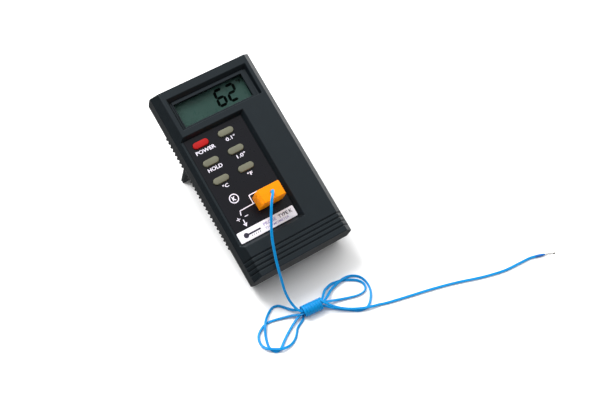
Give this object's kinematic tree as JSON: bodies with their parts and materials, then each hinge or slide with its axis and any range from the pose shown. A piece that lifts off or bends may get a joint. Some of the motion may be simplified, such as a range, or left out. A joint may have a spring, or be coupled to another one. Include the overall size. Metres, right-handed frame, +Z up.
{
  "type": "digital probe thermometer",
  "caption": "Hand-held digital thermometer on a folding tilt stand, with display, keypad, plug-in blue bead probe lead tied in a bundle, and battery compartment.",
  "frame": {"origin": "on the surface it stands on, below the middle of the meter's own box, without the plug and lead", "axes": "+X across the meter to the right, +Y from the user's end to the display end, +Z up"},
  "size_m": [0.1942, 0.2045, 0.074],
  "materials": {
    "case_plastic": "fine moulded texture",
    "window": "clear",
    "black_plastic": "satin",
    "display_glass": "grey-green, satin",
    "contact_rubber": "matt",
    "panel_film": "satin printed film",
    "strip_film": "satin white",
    "red_key": "satin",
    "grey_key": "satin",
    "mat_rubber": "matt",
    "board": "lacquered",
    "chip": "matt",
    "capacitor_sleeve": "gloss",
    "can": "satin",
    "trimmer": "gloss",
    "contact_metal": "plated",
    "battery_jacket": null,
    "snap": "matt",
    "red_insulation": "gloss",
    "black_insulation": "gloss",
    "foam": "open-cell foam",
    "steel": "plated",
    "plug_plastic": "satin",
    "blade_metal": "bright",
    "brass": "turned",
    "lead_jacket": "satin",
    "bare_wire": "bright"
  },
  "bodies": {
    "meter": {"front_case": "case_plastic", "rear_case": "case_plastic", "display_lens": "window", "lcd_frame": "black_plastic", "lcd_glass": "display_glass", "zebra_strips": "contact_rubber", "keypad_panel": "panel_film", "name_strip": "strip_film", "keypad_mat": "mat_rubber", "circuit_board": "board", "main_chip": "chip", "capacitors": "capacitor_sleeve", "crystal": "can", "trimmers": "trimmer", "probe_socket": "black_plastic", "socket_contacts": "contact_metal", "battery": "battery_jacket", "battery_snap": "snap", "battery_lead_red": "red_insulation", "battery_lead_black": "black_insulation", "foam_pad": "foam", "stand_pin": "steel", "case_screws": "steel", "board_screws": "steel", "lead_wrap": "lead_jacket", "lead_loops_left": "lead_jacket", "lead_loops_right": "lead_jacket", "lead_tail": "lead_jacket", "tip_sleeve": "lead_jacket", "probe_wires": "bare_wire", "weld_bead": "bare_wire"},
    "power_key": {"power_key": "red_key"},
    "hold_key": {"hold_key": "grey_key"},
    "celsius_key": {"celsius_key": "grey_key"},
    "tenth_degree_key": {"tenth_degree_key": "grey_key"},
    "one_degree_key": {"one_degree_key": "grey_key"},
    "fahrenheit_key": {"fahrenheit_key": "grey_key"},
    "battery_cover": {"battery_cover": "case_plastic"},
    "tilt_stand": {"tilt_stand": "case_plastic"},
    "plug": {"plug_base": "plug_plastic", "plug_cap": "plug_plastic", "plug_blade_wide": "blade_metal", "plug_blade_narrow": "blade_metal", "plug_terminal_screws": "brass", "plug_cap_screw": "steel", "lead_drop": "lead_jacket"}
  },
  "joints": [
    {"name": "power_press", "type": "slide", "parent": "meter", "child": "power_key", "axis": [0, 0.3502, -0.9367], "range_m": [0, 0.0008], "stiffness_N_per_m": 800, "springref_m": -0.0004},
    {"name": "hold_press", "type": "slide", "parent": "meter", "child": "hold_key", "axis": [0, 0.3502, -0.9367], "range_m": [0, 0.0008], "stiffness_N_per_m": 800, "springref_m": -0.0004},
    {"name": "celsius_press", "type": "slide", "parent": "meter", "child": "celsius_key", "axis": [0, 0.3502, -0.9367], "range_m": [0, 0.0008], "stiffness_N_per_m": 800, "springref_m": -0.0004},
    {"name": "tenth_degree_press", "type": "slide", "parent": "meter", "child": "tenth_degree_key", "axis": [0, 0.3502, -0.9367], "range_m": [0, 0.0008], "stiffness_N_per_m": 800, "springref_m": -0.0004},
    {"name": "one_degree_press", "type": "slide", "parent": "meter", "child": "one_degree_key", "axis": [0, 0.3502, -0.9367], "range_m": [0, 0.0008], "stiffness_N_per_m": 800, "springref_m": -0.0004},
    {"name": "fahrenheit_press", "type": "slide", "parent": "meter", "child": "fahrenheit_key", "axis": [0, 0.3502, -0.9367], "range_m": [0, 0.0008], "stiffness_N_per_m": 800, "springref_m": -0.0004},
    {"name": "stand_hinge", "type": "hinge", "parent": "meter", "child": "tilt_stand", "pos_m": [0, 0.03336, 0.03434], "axis": [1, 0, 0], "range_deg": [-78, 0]},
    {"name": "cover_slide", "type": "slide", "parent": "meter", "child": "battery_cover", "axis": [0, -0.9367, -0.3502], "range_m": [0, 0.034]},
    {"name": "plug_pull", "type": "slide", "parent": "meter", "child": "plug", "axis": [0, -0.3502, 0.9367], "range_m": [0, 0.013]}
  ]
}
